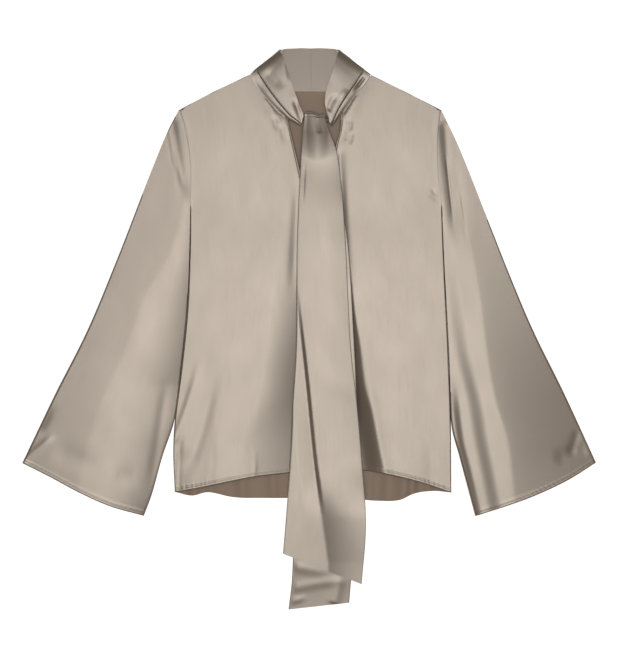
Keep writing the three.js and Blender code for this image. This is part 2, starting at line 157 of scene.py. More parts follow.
def folds(*rows):
    # a fold from one point to another: width is its half-width, other the same on its right side,
    # bow bends it sideways, and a negative height is a trough
    return [dict(zip(foldNames, tuple(row) + (0,) * (len(foldNames) - len(row)))) for row in rows]


def foldHeight(rows, x, y):
    total = np.zeros_like(x)
    for fold in rows:
        dx, dy = fold["toX"] - fold["x"], fold["toY"] - fold["y"]
        length = math.hypot(dx, dy)
        t = ((x - fold["x"]) * dx + (y - fold["y"]) * dy) / length ** 2
        aside = ((y - fold["y"]) * dx - (x - fold["x"]) * dy) / length
        aside = aside - fold["bow"] * 4 * clamp01(t) * (1 - clamp01(t))
        width = np.where(aside > 0, fold["other"] or fold["width"], fold["width"])
        shape = bell(aside, width)
        if fold["fadeIn"]:
            shape = shape * smooth(t / fold["fadeIn"])
        if fold["fadeOut"]:
            shape = shape * smooth((1 - t) / fold["fadeOut"])
        total = total + fold["height"] * shape
    return total


# The outlines of the pieces as they lie
outlines = {
    "shoulderRight": [(-212, 358), (-156, 387.5), (-98, 415)],
    "shoulderLeft": [(101, 414.5), (157, 387), (214, 358)],
    "armholeRight": [(-212, 358), (-200, 316), (-194, 273), (-193, 232), (-194, 202)],
    "armholeLeft": [(214, 358), (209, 316), (208.5, 283), (210, 250), (216, 199)],
    "sideRight": [(-194, 202), (-196, 99), (-200, 24), (-209, -64), (-220, -151), (-222.5, -200),
                  (-220, -266)],
    "sideLeft": [(216, 199), (220, 99), (224, 24), (228, -64), (231, -157), (232, -267)],
    "neckRight": [(-98, 415), (-87, 398), (-72, 378), (-56, 361), (-35, 342)],
    "neckLeft": [(101, 414.5), (91, 399), (78, 384), (68, 371), (51, 349)],
    "slitRight": [(-35, 342), (-28, 313), (-15, 259), (-1, 202), (12, 145)],
    "slitLeft": [(51, 349), (49, 321), (42, 296), (28, 212), (12, 145)],
    "centreFront": [(12, 145), (6, -40), (4, -231)],
    "frontHemRight": [(-220, -266), (-180, -259), (-132, -249), (-90, -241), (-34, -235), (4, -231)],
    "frontHemLeft": [(4, -231), (88, -231), (124, -236), (182, -250), (232, -267)],
    "backNeck": [(-98, 415), (-83, 401), (-62, 391.5), (-35, 388), (3, 387.5), (38, 388), (66, 391.5),
                 (86, 401), (101, 414.5)],
    "backHem": [(-220, -266), (-192, -272), (-166, -266.5), (-125, -274.5), (-60, -276), (3, -276),
                (66, -277), (112, -280.5), (148, -279), (170, -269), (200, -264.5), (232, -267)],
}
lines = {name: along(points) for name, points in outlines.items()}
edgeX = {name: readAcross(outlines[name])
         for name in ("armholeRight", "armholeLeft", "sideRight", "sideLeft")}
edgeX["neckRight"] = readAcross(outlines["neckRight"] + outlines["slitRight"][1:])
edgeX["neckLeft"] = readAcross(outlines["neckLeft"] + outlines["slitLeft"][1:])
underarmY, shoulderY, slitFoot = 202, 358, 145


# The front's height above the surface that the blouse lies on. It turns down sharply at its side and
# shoulder seams, and is nearly level between them.
frontForm = {
    "seamTop": 2.7, "upperTop": 9.6, "lowerTop": 14, "rise": (260, -60),
    "edgeRoll": 1.7, "shoulderRoll": 0.9, "rollShare": 0.95, "sideReach": 130, "shoulderReach": 110,
    "sideTop": 9.0, "sideRise": (0, 190),
    "armholeTop": 9.6, "armholeFoot": 10.0, "armholeReach": 6, "underarmBlend": (194, 206),
    "neckTop": 8.6, "neckReach": 40, "neckRise": 150, "gathersFrom": 4,
}
# it sinks between two crests that part towards the hem
trough = {
    "grows": (260, -190), "depth": 10.6, "power": 1.5,
    "crestRight": readAcross([(-40, 230), (-54, 130), (-64, 47), (-71, -34), (-86, -116),
                              (-112, -181), (-124, -241)]),
    "crestLeft": readAcross([(58, 230), (66, 120), (76, 20), (84, -24), (93, -94), (104, -135),
                             (115.6, -192), (126, -240)]),
    "bottomRight": readAcross([(-10, 230), (-14, 80), (-16, 5), (-18, -80), (-21, -145), (-26, -241)]),
    "bottomLeft": readAcross([(50, 230), (56, 120), (62, 20), (64, -24), (68, -94), (74, -135),
                              (80, -192), (84, -240)]),
}
frontFolds = folds(
    (86, 10, 124, -232, 5, 0.5, 0.5, 0, -4, 9),
    (-174, -30, -224, -190, 5, 0.9, 0.5, 0.1, 4, 9),
    (-150, -60, -200, -240, 11, -0.9, 0.4, 0.2, 4, 9),
    (-204, -190, -210, -264, 13, -0.8, 0.4, 0),
    (-140, -120, -160, -262, 12, 0.7, 0.6, 0),
    (196, -160, 200, -262, 12, -0.5, 0.6, 0),
    (194, 212, 208, 222, 4, -0.35, 0.5, 0.05),
    (-17, 262, -28, 40, 8, -1.2, 0.3, 0.4),
    (57, 350, 61, 334, 2.6, -0.7, 0.3, 0.3),
    (65, 344, 66, 322, 2.6, -0.6, 0.3, 0.3, 2),
    (55, 326, 60, 306, 3.0, -0.6, 0.3, 0.3, -2),
    (70, 322, 66, 300, 3.0, -0.5, 0.3, 0.3),
    (-58, 350, -52, 320, 5, -0.6, 0.3, 0.4),
    (-46, 336, -40, 302, 4, -0.6, 0.3, 0.4),
    (200, 230, 207, 217, 3, -0.45, 0.3, 0.2),
    (202, 213, 212, 210, 3, -0.25, 0.3, 0.1),
    (50, 300, 53, 215, 3.5, -1.0, 0.2, 0, 0, 7),
    (53, 215, 71, 65, 3, -0.7, 0, 0.3, 0, 7),
    (-90, -190, -90, -250, 1.8, 0.5, 0.7, 0, 0, 3.5),
    (-150, -180, -160, -250, 6, -0.4, 0.5, 0),
    (-209, -150, -214, -250, 4, -0.7, 0.5, 0),
)
# gathers along the neck seam: where each starts as a share of the seam, its length, and its slant
gatherRows = {
    "right": [(0.50, 14, 2), (0.60, 22, 1), (0.69, 26, -1), (0.78, 34, 0), (0.87, 30, 2), (0.95, 40, 1)],
    "left": [(0.52, 22, -3), (0.62, 30, -2), (0.72, 40, -3), (0.82, 30, -1), (0.91, 46, -4)],
}
gatherForm = {"width": 4.2, "height": 0.45, "between": 6.0, "dip": -0.65, "spread": 0.12,
              "fade": (0.1, 0.8)}


def gatherFolds():
    rows = []
    for side, name in (("right", "neckRight"), ("left", "neckLeft")):
        turn = 1 if side == "right" else -1
        for share, length, slant in gatherRows[side]:
            x, y = lines[name](np.array([share]))[0]
            toX, toY = x + slant + gatherForm["spread"] * length * turn, y - length
            shift = gatherForm["between"] * turn
            width, fade = gatherForm["width"], gatherForm["fade"]
            rows.append((x, y + 1, toX, toY, width, gatherForm["height"], *fade))
            rows.append((x + shift, y, toX + shift, toY, width, gatherForm["dip"], *fade))
    return folds(*rows)


def pillow(distance, reach):
    form = frontForm
    return (form["rollShare"] * easeOut(distance / form["shoulderRoll"])
            + (1 - form["rollShare"]) * easeOut(distance / reach))


def troughDepth(x, y):
    fromRight = (x - trough["crestRight"](y)) / (trough["bottomRight"](y) - trough["crestRight"](y))
    fromLeft = (trough["crestLeft"](y) - x) / (trough["crestLeft"](y) - trough["bottomLeft"](y))
    gentle = clamp01(fromRight) ** trough["power"]
    return trough["depth"] * eased(y, *trough["grows"]) * gentle * smooth(fromLeft)


def seamEdge(y):
    # the height of the armhole seam, shared by the front and the sleeves
    form = frontForm
    t = clamp01((y - underarmY) / (shoulderY - underarmY))
    arch = np.maximum(np.sin(np.pi * t), 0) ** 0.5
    raised = form["armholeFoot"] + (form["armholeTop"] - form["armholeFoot"]) * arch
    fallen = easeOut((shoulderY - y) / form["shoulderRoll"])
    return form["seamTop"] + (raised - form["seamTop"]) * fallen


gathers = gatherFolds()


def frontHeight(x, y, gathered=True):
    form = frontForm
    upper = y > underarmY
    lowX = np.where(upper, edgeX["armholeRight"](y), edgeX["sideRight"](y))
    highX = np.where(upper, edgeX["armholeLeft"](y), edgeX["sideLeft"](y))
    fromSide = np.minimum(x - lowX, highX - x)
    edge = form["seamTop"]
    level = form["upperTop"] + (form["lowerTop"] - form["upperTop"]) * eased(y, *form["rise"])
    level = level + foldHeight(frontFolds, x, y) - troughDepth(x, y)
    share = form["rollShare"] + (1 - form["rollShare"]) * easeOut(fromSide / form["sideReach"])
    level = edge + (level - edge) * share
    side = edge + (form["sideTop"] - edge) * eased(y, *form["sideRise"])
    rounded = side + (level - side) * easeOut(fromSide / form["edgeRoll"])
    sewn = seamEdge(y)
    sewn = sewn + (level - sewn) * easeOut(fromSide / form["armholeReach"])
    height = rounded + (sewn - rounded) * eased(y, *form["underarmBlend"])
    shoulder = np.interp(x, *np.array(outlines["shoulderRight"] + outlines["shoulderLeft"]).T)
    height = edge + (height - edge) * pillow(shoulder - y, form["shoulderReach"])
    fromNeck = np.maximum(edgeX["neckRight"](y) - x, x - edgeX["neckLeft"](y))
    sunken = 1 - easeOut(fromNeck / form["neckReach"])
    sunken = sunken * eased(y, slitFoot, slitFoot + form["neckRise"])
    height = height + (np.minimum(form["neckTop"], height) - height) * sunken
    if gathered:
        height = height + foldHeight(gathers, x, y) * smooth(fromNeck / form["gathersFrom"])
    return height


# Meshes

def gridFaces(rows, columns, start=0, closed=False, flipped=False):
    j, i = np.meshgrid(np.arange(rows - 1), np.arange(columns if closed else columns - 1),
                       indexing="ij")
    nextColumn = (i + 1) % columns
    corners = (j * columns + i, (j + 1) * columns + i, (j + 1) * columns + nextColumn,
               j * columns + nextColumn)
    faces = np.stack(corners, -1).reshape(-1, 4) + start
    return faces[:, ::-1] if flipped else faces


def flatPlaces(grid):
    # where each point of a grid lies in the cut cloth, in metres
    across = np.linalg.norm(np.diff(grid, axis=1), axis=2).mean(0)
    down = np.linalg.norm(np.diff(grid, axis=0), axis=2).mean(1)
    u = np.concatenate([[0], np.cumsum(across)])
    v = np.concatenate([[0], np.cumsum(down)])
    return np.stack(np.meshgrid(u, -v), -1).reshape(-1, 2) * metre


meshForm = {"weld": 0.001, "sharpAngle": 50}


def weld(grids, thickness, flippedGrids, closed):
    # grids joined into one sheet: its points, how thick it is there, its faces and their places
    # in the cut cloth
    points, faces, places = [], [], []
    count = 0
    for n, grid in enumerate(grids):
        rows, columns = grid.shape[:2]
        flipped = bool(flippedGrids and flippedGrids[n])
        thick = np.broadcast_to(thickness[n], (rows, columns))
        points.append(np.dstack([grid, thick]).reshape(-1, 4))
        faces.append(gridFaces(rows, columns, count, closed, flipped))
        places.append(flatPlaces(grid))
        count += rows * columns
    points, faces, places = np.vstack(points), np.vstack(faces), np.vstack(places)
    keys = np.round(points[:, :3] / meshForm["weld"]).astype(np.int64)
    first, index = np.unique(keys, axis=0, return_index=True, return_inverse=True)[1:]
    return points[first, :3], points[first, 3], index.reshape(-1)[faces], places[faces]


def pointNormals(points, faces):
    a, b, c, d = (points[faces[:, k]] for k in range(4))
    faceNormals = np.cross(c - a, d - b)
    normals = np.zeros_like(points)
    for k in range(4):
        np.add.at(normals, faces[:, k], faceNormals)
    return normals / np.maximum(np.linalg.norm(normals, axis=1), 1e-9)[:, None]


def shell(name, grids, thickness, materials, node, flippedGrids=None, closed=False):
    # cloth with a face side, a reverse side and an edge all round, from one or more grids of points
    points, thick, faces, places = weld(grids, thickness, flippedGrids, closed)
    under = points - pointNormals(points, faces) * thick[:, None]
    total = len(points)
    starts = faces.reshape(-1)
    ends = np.roll(faces, -1, axis=1).reshape(-1)
    rim = ~np.isin(starts * total + ends, ends * total + starts)
    starts, ends = starts[rim], ends[rim]
    rimFaces = np.stack([starts, starts + total, ends + total, ends], -1)
    rimPlaces = np.repeat(places.reshape(-1, 2)[rim], 4, axis=0)
    everyFace = np.vstack([faces, faces[:, ::-1] + total, rimFaces])
    everyPlace = np.vstack([places.reshape(-1, 2), places[:, ::-1].reshape(-1, 2), rimPlaces])
    mesh = bpy.data.meshes.new(name)
    mesh.from_pydata((np.vstack([points, under]) * metre).tolist(), [], everyFace.tolist())
    mesh.uv_layers.new(name="cut").data.foreach_set("uv", everyPlace.reshape(-1))
    for material in materials:
        mesh.materials.append(material)
    side = np.zeros(len(everyFace), np.int32)
    if len(materials) > 1:
        side[len(faces):2 * len(faces)] = 1
    mesh.polygons.foreach_set("material_index", side)
    mesh.polygons.foreach_set("use_smooth", np.ones(len(everyFace), bool))
    mesh.set_sharp_from_angle(angle=math.radians(meshForm["sharpAngle"]))
    piece = bpy.data.objects.new(name, mesh)
    bpy.context.scene.collection.objects.link(piece)
    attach(piece, "root")
    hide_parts(node)
    print("made", name, "with", len(everyFace), "faces")


# Materials

class Wire:
    # a socket that can be used in expressions
    def __init__(self, tree, socket=None):
        self.tree, self.socket = tree, socket

    def node(self, kind, settings=None, sockets=None, output=0):
        made = self.tree.nodes.new(kind)
        for key, value in (settings or {}).items():
            setattr(made, key, value)
        for key, value in (sockets or {}).items():
            if isinstance(value, Wire):
                self.tree.links.new(value.socket, made.inputs[key])
            else:
                made.inputs[key].default_value = value
        return Wire(self.tree, made.outputs[output]) if made.outputs else None

    def math(self, operation, first, second):
        return self.node("ShaderNodeMath", {"operation": operation}, {0: first, 1: second})

    def __add__(self, other):
        return self.math("ADD", self, other)

    def __radd__(self, other):
        return self.math("ADD", other, self)

    def __sub__(self, other):
        return self.math("SUBTRACT", self, other)

    def __mul__(self, other):
        return self.math("MULTIPLY", self, other)


satinLook = {"colour": (0.42, 0.347, 0.275), "shade": 0.95, "roughness": 0.36, "metallic": 0.65,
             "weave": 0.10, "slub": 0.35}
reverseLook = {"colour": (0.50, 0.37, 0.27), "shade": 0.95, "roughness": 0.6, "metallic": 0.3,
               "weave": 0.16, "slub": 0.3}
# the weave in metres, and how much its threads, slubs and large clouds change the cloth
weave = {
    "warp": 0.00028, "float": 0.0022, "slubWide": 0.0016, "slubLong": 0.05,
    "cloudWide": 0.045, "cloudLong": 0.072, "cloudTone": 0.7, "threadTone": 0.25,
    "cloudRough": 0.06, "slubRough": 0.05, "threadRelief": 0.7, "slubRelief": 0.3, "deep": 0.0002,
    "shine": 0.4,
}


def clothMaterial(name, look):
    material = bpy.data.materials.new(name)
    material.use_nodes = True
    tree = material.node_tree
    tree.nodes.clear()
    start = Wire(tree)
    place = start.node("ShaderNodeTexCoord", output=2)

    def streaks(wide, long, detail):
        scaled = start.node("ShaderNodeVectorMath", {"operation": "MULTIPLY"},
                            {0: place, 1: (1 / wide, 1 / long, 1)})
        return start.node("ShaderNodeTexNoise", {"noise_dimensions": "2D"},
                          {"Vector": scaled, "Scale": 1.0, "Detail": detail, "Roughness": 0.5})

    threads = streaks(weave["warp"], weave["float"], 1.0)
    slubs = streaks(weave["slubWide"], weave["slubLong"], 2.0)
    clouds = streaks(weave["cloudWide"], weave["cloudLong"], 3.0)
    tone = 0.5 + (clouds - 0.5) * weave["cloudTone"] + (slubs - 0.5) * look["slub"]
    tone = tone + (threads - 0.5) * weave["threadTone"]
    dark = tuple(c * look["shade"] for c in look["colour"])
    light = tuple(c * (2 - look["shade"]) for c in look["colour"])
    colour = start.node("ShaderNodeMix", {"data_type": "RGBA"},
                        {"Factor": tone, 6: (*dark, 1), 7: (*light, 1)}, output=2)
    rough = (look["roughness"] + (clouds - 0.5) * weave["cloudRough"]
             + (slubs - 0.5) * weave["slubRough"])
    relief = threads * weave["threadRelief"] + slubs * weave["slubRelief"]
    normal = start.node("ShaderNodeBump", sockets={
        "Strength": look["weave"], "Distance": weave["deep"], "Height": relief})
    shader = start.node("ShaderNodeBsdfPrincipled", sockets={
        "Base Color": colour, "Roughness": rough, "Metallic": look["metallic"], "Normal": normal,
        "Specular IOR Level": weave["shine"]})
    start.node("ShaderNodeOutputMaterial", sockets={"Surface": shader})
    return material


satin = clothMaterial("satin", satinLook)
reverse = clothMaterial("satin_reverse", reverseLook)
print("materials made")


# A turned edge, three layers of cloth sewn together: it stands up a little, with a dent along the
# stitches, uneven puckers and a rounded lip
hemForm = {
    "blend": 1.2, "raised": 0.6, "raisedBlend": 1.5, "dent": 0.5, "dentWide": 0.8, "puckerWide": 4.0,
    "wanders": 1.3, "wanderLength": 17, "swells": 0.4, "swellLength": 31, "lip": 0.5, "lipWide": 1.2,
}


def hemThickness(fromEdge, settings):
    thin, thick = settings["thickness"], settings["hemThick"]
    inner = smooth((fromEdge - settings["hem"] + hemForm["blend"]) / hemForm["blend"])
    return thin + (thick - thin) * (1 - inner)


def hemRelief(fromEdge, alongEdge, settings):
    form = hemForm
    fromStitch = fromEdge - settings["stitchAt"]
    raised = form["raised"] * (1 - smooth((fromEdge - settings["hem"]) / form["raisedBlend"]))
    dent = -form["dent"] * bell(fromStitch, form["dentWide"])
    wave = np.sin(2 * np.pi * alongEdge / settings["puckerPitch"]
                  + form["wanders"] * np.sin(alongEdge / form["wanderLength"]))
    wave = wave * (1 + form["swells"] * (np.sin(alongEdge / form["swellLength"] + 1) - 1))
    puckers = settings["pucker"] * wave * bell(fromStitch, form["puckerWide"])
    lip = -form["lip"] * (1 - smooth(fromEdge / form["lipWide"]))
    return raised + dent + puckers + lip


# The front, cut in one piece with a slit at the neck. Its mesh has finer steps near the edges: the
# lengths are what those steps are measured against, and the shares say where one edge gives way to
# the next.
frontPiece = {
    "thickness": 0.5, "hem": 6.0, "hemThick": 1.3, "stitchAt": 5.0, "pucker": 0.5, "puckerPitch": 5.2,
    "binding": {"wide": 3.6, "raised": 0.8, "blend": 1.2, "lip": 0.9, "lipWide": 1.3, "ends": 0.02},
    "pitch": 3.0, "edge": (0.3, 0.7, 1.2, 1.9, 2.8, 4.2), "neckEdge": (0.8, 1.8, 3.0, 4.4, 6.0),
    "hemEdge": (0.5, 1.0, 1.7, 2.5, 3.4, 4.2, 5.0, 5.8, 6.8, 8.0, 9.4, 11),
    "shoulderLength": 90, "neckLength": 126, "armholeLength": 165, "sideLength": 468,
    "neckShare": 0.58, "armholeShare": 0.26, "slitShare": 0.455, "joinReach": 0.5,
    "cut": {"flat": (0.455, 0.69), "area": 0.258, "held": "laid", "restsOn": ["back_cloth"]},
}


def frontHalf(side):
    piece = frontPiece
    neck, arm = piece["neckShare"], piece["armholeShare"]
    shoulderSteps = shares(piece["shoulderLength"], piece["pitch"], piece["edge"])
    neckSteps = shares(piece["neckLength"], piece["pitch"], nearEnd=piece["neckEdge"])
    armholeSteps = shares(piece["armholeLength"], piece["pitch"], piece["edge"])
    sideSteps = shares(piece["sideLength"], piece["pitch"], nearEnd=piece["hemEdge"])
    u = np.concatenate([shoulderSteps * (1 - neck), (1 - neck) + neckSteps[1:] * neck])
    v = np.concatenate([armholeSteps * arm, arm + sideSteps[1:] * (1 - arm)])
    shoulder, hem = lines["shoulder" + side], lines["frontHem" + side]
    if side == "Left":
        shoulder, hem = backwards(shoulder), backwards(hem)
    slit = v[np.argmin(abs(v - piece["slitShare"]))]
    flat = patch(
        chain((1 - neck, shoulder), (neck, lines["neck" + side])), hem,
        chain((arm, lines["armhole" + side]), (1 - arm, lines["side" + side])),
        chain((slit, lines["slit" + side]), (1 - slit, lines["centreFront"])), u, v)
    x, y = flat[..., 0], flat[..., 1]
    fromHem, fromSlit = toEnd(flat, 0), toEnd(flat, 1)
    binding = piece["binding"]
    bound = binding["raised"] * (1 - smooth((fromSlit - binding["wide"]) / binding["blend"]))
    bound = bound - binding["lip"] * (1 - smooth(fromSlit / binding["lipWide"]))
    onSlit = smooth((slit - binding["ends"] - v) / binding["ends"])[:, None]
    z = frontHeight(x, y) + hemRelief(fromHem, x, piece) + bound * onSlit
    return np.dstack([x, y, z]), hemThickness(fromHem, piece)


def makeFront():
    rightGrid, rightThick = frontHalf("Right")
    leftGrid, leftThick = frontHalf("Left")
    # below the slit the two halves share their middle points
    joinTop = slitFoot + frontPiece["joinReach"]
    leftJoined, rightJoined = leftGrid[:, -1, 1] < joinTop, rightGrid[:, -1, 1] < joinTop
    leftGrid[leftJoined, -1] = rightGrid[rightJoined, -1]
    shell("front_cloth", [rightGrid, leftGrid], [rightThick, leftThick], [satin, reverse],
          "front_panel", flippedGrids=[False, True])


makeFront()


# The back, which lies flat but for the waves of its hem
backPiece = {
    "thickness": 0.8, "hem": 6.0, "hemThick": 1.2, "stitchAt": 5.0, "pucker": 0.2, "puckerPitch": 5.6,
    "top": 1.25, "lowestRelief": -0.2, "sideShare": 0.03,
    "width": 450, "length": 680, "shoulderShare": 0.3, "armholeShare": 0.3,
    "pitch": 4.5, "edge": (1.2, 3), "hemEdge": (0.6, 1.2, 2, 3, 4, 5, 6, 7.2, 9, 11),
    "cut": {"flat": (0.455, 0.70), "area": 0.285, "held": "laid", "restsOn": ["floor"]},
}
backFolds = folds(
    (-196, -210, -186, -280, 9, 3.6, 0.5, 0),
    (-166, -215, -160, -280, 7, 2.0, 0.5, 0),
    (172, -205, 166, -280, 8, 4.2, 0.5, 0),
    (190, -215, 196, -280, 8, 2.6, 0.5, 0),
    (146, -225, 142, -285, 9, 1.6, 0.5, 0),
    (-112, -205, -108, -285, 9, 2.6, 0.5, 0),
    (-62, -205, -58, -285, 8, 2.4, 0.5, 0),
    (132, -210, 128, -285, 12, 4.0, 0.5, 0),
    (100, -215, 98, -285, 7, 1.8, 0.5, 0),
)


def makeBack():
    piece = backPiece
    shoulder, arm = piece["shoulderShare"], piece["armholeShare"]
    u = shares(piece["width"], piece["pitch"], piece["edge"], piece["edge"])
    v = shares(piece["length"], piece["pitch"], piece["edge"], piece["hemEdge"])
    flat = patch(
        chain((shoulder, lines["shoulderRight"]), (1 - 2 * shoulder, lines["backNeck"]),
              (shoulder, lines["shoulderLeft"])),
        lines["backHem"],
        chain((arm, lines["armholeRight"]), (1 - arm, lines["sideRight"])),
        chain((arm, lines["armholeLeft"]), (1 - arm, lines["sideLeft"])), u, v)
    x, y = flat[..., 0], flat[..., 1]
    fromHem = toEnd(flat, 0)
    inside = (smooth(u / piece["sideShare"]) * smooth((1 - u) / piece["sideShare"]))[None, :]
    z = piece["top"] + foldHeight(backFolds, x, y) * inside
    z = z + np.maximum(hemRelief(fromHem, x, piece), piece["lowestRelief"])
    shell("back_cloth", [np.dstack([x, y, z])], [hemThickness(fromHem, piece)], [reverse, satin],
          "back_panel")


makeBack()


# The sleeves, flattened tubes that are open at the armhole and at the cuff. The upper layer rises
# from the inner fold to a crest and falls to the outer fold.
sleeveForm = {
    "thickness": 0.5, "hem": 6.0, "hemThick": 1.2, "stitchAt": 5.0, "pucker": 0.25, "puckerPitch": 5.4,
    "cuffSlant": 1.1, "lowerLayer": 0.5, "capTop": 8.5, "edgeTop": 3.5, "crestClear": 2,
    "pastCuff": (500, -285), "gap": 0.05, "blend": 26, "blendRise": 45,
    "edgeShare": 0.006, "lower": 42, "upper": 70, "round": 9, "length": 575, "rows": 165,
    "topEdge": (0.7, 1.6, 2.8), "cuffEdge": (0.5, 1.1, 1.8, 2.6, 3.4, 4.2, 5, 5.8, 7, 9),
}
sleevePieces = {
    "right": {
        "turn": -1, "crestTop": 15, "innerSlope": 0.10, "outerSlope": 0.030, "innerTurn": 2.0,
        "outerTurn": 1.1, "fullWidth": 160, "steps": [],
        "cut": {"flat": (0.434, 0.63), "area": 0.174, "held": "laid", "restsOn": ["floor"]},
        "inner": [(-194, 202), (-196, 99), (-200, 24), (-209, -64), (-220, -148), (-240, -209),
                  (-257, -270), (-270, -305)],
        "outer": [(-212.5, 358), (-229, 327), (-260, 252), (-312, 118), (-362, -2), (-415, -107),
                  (-468, -218)],
        "cuff": [(-270, -305), (-325, -288.5), (-375, -266), (-422, -241), (-468, -218)],
        "crest": [(-205, 358), (-208, 200), (-226, 128), (-270, 47), (-299, -34), (-338, -116),
                  (-360, -181), (-371, -230), (-386, -305)],
        "folds": folds(
            (-226, 346, -202, 215, 7, -1.0, 0.1, 0.3),
            (-231, 338, -217, 250, 3.6, -0.55, 0.2, 0.4),
            (-230, -70, -262, -280, 8, -0.5, 0.3, 0.3),
            (-458, -209, -412, -170, 5, 0.9, 0, 0.4),
            (-446, -172, -417, -120, 8, -1.0, 0.3, 0.5),
            (-422, -198, -335, -226, 18, -0.5, 0.3, 0.4),
            (-318, -246, -278, -236, 16, -0.4, 0.3, 0.3),
        ),
    },
    "left": {
        "turn": 1, "crestTop": 18, "innerSlope": 0.03, "outerSlope": 0.108, "innerTurn": 1.3,
        "outerTurn": 1.12, "fullWidth": 215,
        "cut": {"flat": (0.434, 0.63), "area": 0.157, "held": "laid", "restsOn": ["floor"]},
        # it falls in two steps to the inner fold: the line along each one's middle, its width and its
        # height, and between which heights on the part it grows
        "steps": [
            {"line": readAcross([(214, 250), (224, 128), (236, 47), (248, -34), (268, -116), (279, -181),
                                 (289, -230), (303, -300)]),
             "wide": 30, "high": 3.7, "grows": (300, 150)},
            {"line": readAcross([(232, 0), (237, -100), (246, -181), (258, -230), (274, -300)]),
             "wide": 15, "high": 2.6, "grows": (-60, -150)},
        ],
        "inner": [(216, 199), (220, 99), (224, 24), (228, -64), (232, -160), (244, -207), (257, -256),
                  (270, -305)],
        "outer": [(214.5, 358), (241, 303), (293, 173), (330, 80), (365, -2), (415, -103),
                  (468, -218)],
        "cuff": [(270, -305), (322, -287.5), (365, -272), (420, -247), (468, -218)],
        "crest": [(214, 358), (232, 300), (250, 200), (264, 128), (278, 47), (288, -34), (302, -116),
                  (322, -181), (328, -230), (335, -305)],
        "folds": folds(
            (220, 345, 239, 130, 9, -1.6, 0.08, 0.3, 0, 14),
            (241, 232, 256, 140, 2.2, -0.35, 0.3, 0.4),
            (221, 295, 235, 170, 2.2, -0.4, 0.3, 0.3),
            (395, -214, 456, -194, 12, -0.6, 0.3, 0.2),
            (440, -160, 424, -212, 6, -0.6, 0.3, 0.3),
        ),
    },
}


def sleeveHeight(side, x, y):
    form, piece = sleeveForm, sleevePieces[side]
    turn = piece["turn"]
    armhole = edgeX["armhole" + side.capitalize()]
    farX, farY = form["pastCuff"]
    inner = np.where(y > underarmY, armhole(y), readAcross(piece["inner"])(y)) * turn
    outer = readAcross(piece["outer"] + [(turn * farX, farY)])(y) * turn
    crest = readAcross(piece["crest"])(y) * turn
    crest = np.clip(crest, inner + form["crestClear"], outer - form["crestClear"])
    x = x * turn
    toInner = clamp01((crest - x) / (crest - inner))
    toOuter = clamp01((x - crest) / (outer - crest))
    mostDrop = piece["crestTop"] - form["edgeTop"]
    innerDrop = np.minimum(piece["innerSlope"] * (crest - inner), mostDrop)
    outerDrop = np.minimum(piece["outerSlope"] * (outer - crest), mostDrop)
    height = (piece["crestTop"] - innerDrop * toInner ** piece["innerTurn"]
              - outerDrop * toOuter ** piece["outerTurn"])
    for step in piece["steps"]:
        passed = smooth((x - step["line"](y) * turn) / step["wide"] + 0.5)
        height = height - step["high"] * (1 - passed) * eased(y, *step["grows"])
    # it lies lower where the sleeve is narrow, and meets the front's height at the armhole
    narrow = smooth((outer - inner) / piece["fullWidth"])
    height = form["capTop"] + (height - form["capTop"]) * narrow
    sewn = (1 - smooth((x - inner) / form["blend"])) * smooth((y - underarmY) / form["blendRise"])
    height = height + (seamEdge(y) - height) * sewn
    return height + foldHeight(piece["folds"], x * turn, y)


def sleeveRing():
    # round the tube: the lower layer, the outer fold, the upper layer and the underarm fold
    edge = sleeveForm["edgeShare"]
    lower = np.linspace(edge, 1 - edge, sleeveForm["lower"])
    upper = np.linspace(1 - edge, edge, sleeveForm["upper"])
    turn = np.radians(np.linspace(-90, 90, sleeveForm["round"]))[1:-1]
    fold = edge * (1 - np.cos(turn))
    rising = (1 + np.sin(turn)) / 2
    across = np.concatenate([lower, 1 - fold, upper, fold[::-1]])
    levels = np.concatenate([np.zeros(len(lower)), rising, np.ones(len(upper)), rising[::-1]])
    return across, levels


def makeSleeve(side):
    form, piece = sleeveForm, sleevePieces[side]
    across, levels = sleeveRing()
    v = shares(form["length"], form["length"] / form["rows"], form["topEdge"], form["cuffEdge"])
    armhole = backwards(lines["armhole" + side.capitalize()])
    flat = patch(armhole, along(piece["cuff"]), along(piece["inner"]), along(piece["outer"]), across, v)
    flat = flat + np.array([piece["turn"] * form["gap"], 0])
    x, y = flat[..., 0], flat[..., 1]
    fromCuff = toEnd(flat, 0)
    top = sleeveHeight(side, x, y) + hemRelief(fromCuff, x * form["cuffSlant"], form)
    z = form["lowerLayer"] + levels[None, :] * (top - form["lowerLayer"])
    shell(f"sleeve_{side}_cloth", [np.dstack([x, y, z])], [hemThickness(fromCuff, form)],
          [satin, reverse], f"sleeve_{side}",
          flippedGrids=[piece["turn"] > 0], closed=True)


makeSleeve("right")
makeSleeve("left")


# The scarf collar: a folded band from the centre back round the side of the neck to the knot
collarPiece = {
    "thickness": 1.7, "across": 70, "rows": 170, "tuck": 0.014, "rowSteps": 40, "profileSteps": 400,
    "cut": {"flat": (0.07, 0.22), "area": 0.0115, "held": "folded", "restsOn": ["front_cloth"]},
}
